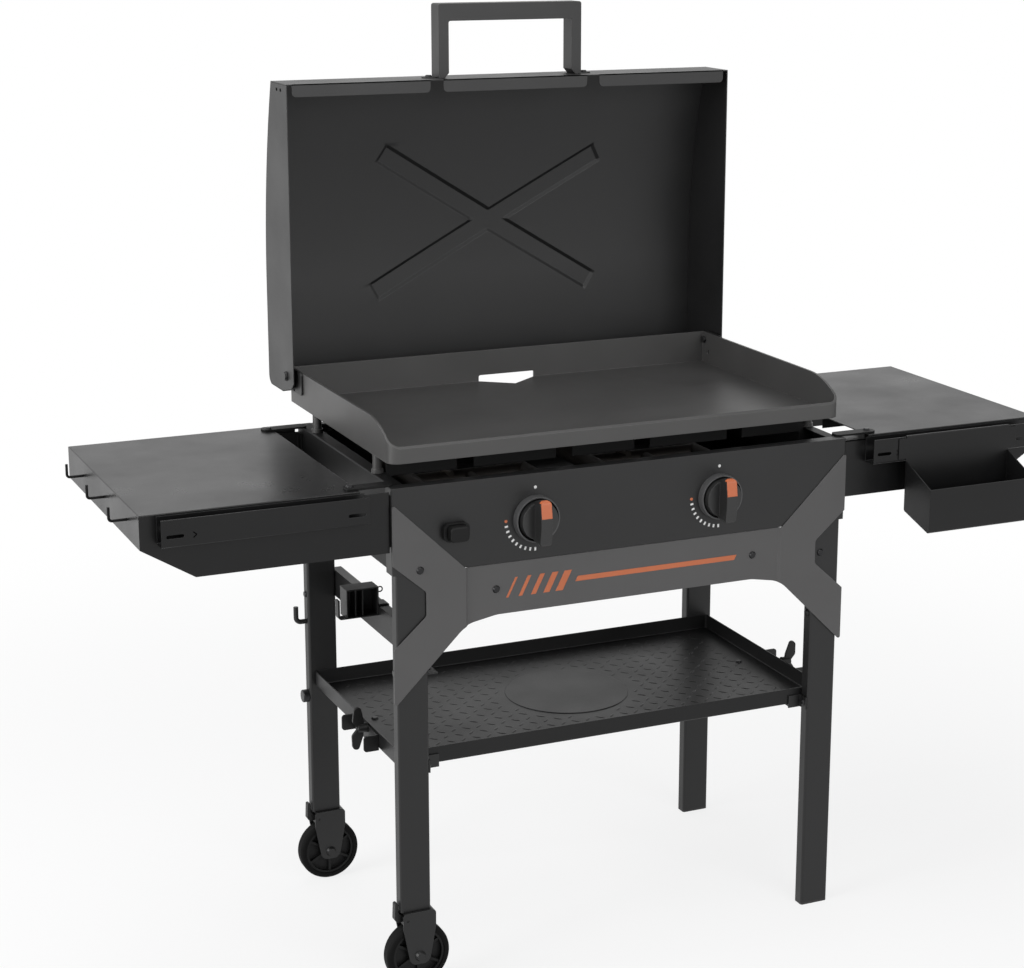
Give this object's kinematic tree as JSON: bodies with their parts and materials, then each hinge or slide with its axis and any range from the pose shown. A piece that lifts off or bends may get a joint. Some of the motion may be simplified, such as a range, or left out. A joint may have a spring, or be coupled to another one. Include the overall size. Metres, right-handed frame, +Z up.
{
  "type": "outdoor gas griddle station",
  "caption": "Flat-top gas griddle on a leg frame with wheels on one side, lift-up hood, fixed side shelves, hanging tool bin, bottom tray and turning burner knobs.",
  "frame": {"origin": "on the floor, under the middle of the four legs", "axes": "+X to the cook's right along the shelves, +Y from the controls to the back, +Z up"},
  "size_m": [1.507, 0.6383, 1.432],
  "materials": {
    "frame_coat": "fine textured black powder coat",
    "brace_coat": "satin charcoal powder coat",
    "panel_coat": "satin black powder coat",
    "hood_coat": "matte charcoal heat-proof powder coat",
    "shelf_coat": "satin charcoal powder coat",
    "tray_coat": "textured black powder coat",
    "griddle_steel": "seasoned rolled steel",
    "zinc": "zinc-plated steel",
    "black_bolt": "black oxide",
    "brass": "turned brass",
    "burner_steel": "stainless tube, heat toned",
    "ceramic": "glazed ceramic and steel",
    "bezel_grey": "satin dark grey moulding",
    "knob_black": "semi-gloss black moulding",
    "orange": "satin orange moulding",
    "black_plastic": "fine grained black moulding",
    "tyre": "solid black rubber",
    "hub": "grained black moulding"
  },
  "bodies": {
    "station": {"accessory_rails": "shelf_coat", "bottom_tray": "tray_coat", "burner_wall": "panel_coat", "burners": "burner_steel", "clamp_brackets": "tray_coat", "control_panel": "panel_coat", "corner_links": "frame_coat", "foot_caps": "black_plastic", "frame_bolts": "black_bolt", "front_brace": "brace_coat", "gas_inlet": "brass", "gas_manifold": "zinc", "gas_valves": "brass", "grease_rails": "frame_coat", "heat_shield": "zinc", "hose_hook": "black_bolt", "igniter_electrodes": "ceramic", "igniter_housing": "black_plastic", "igniter_module": "black_plastic", "knob_bezels": "bezel_grey", "left_legs": "frame_coat", "left_shelf": "shelf_coat", "rear_panel": "panel_coat", "right_legs": "frame_coat", "right_shelf": "shelf_coat", "shelf_brackets": "frame_coat", "side_panels": "panel_coat", "tank_beam": "frame_coat", "tank_hanger": "tray_coat", "tool_hooks": "black_bolt", "tray_supports": "frame_coat", "wheel_axles": "zinc", "wheel_forks": "frame_coat"},
    "hood": {"hood_shell": "hood_coat", "hood_sides": "hood_coat", "hood_handle": "hood_coat", "handle_bolts": "black_bolt"},
    "griddle": {"griddle_plate": "griddle_steel", "griddle_feet": "zinc", "hinge_brackets": "frame_coat", "hinge_pins": "zinc"},
    "left_push": {"left_stem_collar": "zinc"},
    "right_push": {"right_stem_collar": "zinc"},
    "left_dial": {"left_knob": "knob_black", "left_knob_insert": "orange", "left_valve_stem": "zinc"},
    "right_dial": {"right_knob": "knob_black", "right_knob_insert": "orange", "right_valve_stem": "zinc"},
    "igniter": {"igniter_button": "knob_black"},
    "wheel_front": {"front_wheel": "hub", "front_tyre": "tyre"},
    "wheel_rear": {"rear_wheel": "hub", "rear_tyre": "tyre"},
    "brake_front": {"front_brake_lever": "black_plastic"},
    "brake_rear": {"rear_brake_lever": "black_plastic"},
    "bin": {"tool_bin": "shelf_coat"},
    "cup": {"grease_cup": "tray_coat"},
    "clamp_left": {"left_wing_screw": "black_plastic"},
    "clamp_right": {"right_wing_screw": "black_plastic"}
  },
  "joints": [
    {"name": "hood_hinge", "type": "hinge", "parent": "griddle", "child": "hood", "pos_m": [0, 0.236, 0.854], "axis": [-1, 0, 0], "range_deg": [-90, 0]},
    {"name": "griddle_lift", "type": "slide", "parent": "station", "child": "griddle", "axis": [0, 0, 1], "range_m": [0, 0.1]},
    {"name": "left_knob_push", "type": "slide", "parent": "station", "child": "left_push", "axis": [0, 1, 0], "range_m": [0, 0.003], "stiffness_N_per_m": 400},
    {"name": "right_knob_push", "type": "slide", "parent": "station", "child": "right_push", "axis": [0, 1, 0], "range_m": [0, 0.003], "stiffness_N_per_m": 400},
    {"name": "left_knob_turn", "type": "hinge", "parent": "left_push", "child": "left_dial", "pos_m": [-0.153, -0.212, 0.711], "axis": [0, -1, 0], "range_deg": [0, 180]},
    {"name": "right_knob_turn", "type": "hinge", "parent": "right_push", "child": "right_dial", "pos_m": [0.153, -0.212, 0.711], "axis": [0, -1, 0], "range_deg": [0, 180]},
    {"name": "igniter_push", "type": "slide", "parent": "station", "child": "igniter", "axis": [0, 1, 0], "range_m": [0, 0.004], "stiffness_N_per_m": 500},
    {"name": "front_wheel_roll", "type": "hinge", "parent": "station", "child": "wheel_front", "pos_m": [-0.343, -0.206, 0.05], "axis": [0, 1, 0], "continuous": true},
    {"name": "rear_wheel_roll", "type": "hinge", "parent": "station", "child": "wheel_rear", "pos_m": [-0.343, 0.206, 0.05], "axis": [0, 1, 0], "continuous": true},
    {"name": "front_brake_press", "type": "hinge", "parent": "station", "child": "brake_front", "pos_m": [-0.362, -0.206, 0.11], "axis": [0, -1, 0], "range_deg": [0, 12]},
    {"name": "rear_brake_press", "type": "hinge", "parent": "station", "child": "brake_rear", "pos_m": [-0.362, 0.206, 0.11], "axis": [0, -1, 0], "range_deg": [0, 12]},
    {"name": "bin_lift", "type": "slide", "parent": "station", "child": "bin", "axis": [0, 0, 1], "range_m": [0, 0.05]},
    {"name": "cup_slide", "type": "slide", "parent": "station", "child": "cup", "axis": [0, 1, 0], "range_m": [0, 0.09]},
    {"name": "left_clamp_turn", "type": "hinge", "parent": "station", "child": "clamp_left", "pos_m": [-0.365, -0.062, 0.363], "axis": [-1, 0, 0], "range_deg": [0, 180]},
    {"name": "right_clamp_turn", "type": "hinge", "parent": "station", "child": "clamp_right", "pos_m": [0.365, -0.062, 0.363], "axis": [1, 0, 0], "range_deg": [0, 180]}
  ]
}
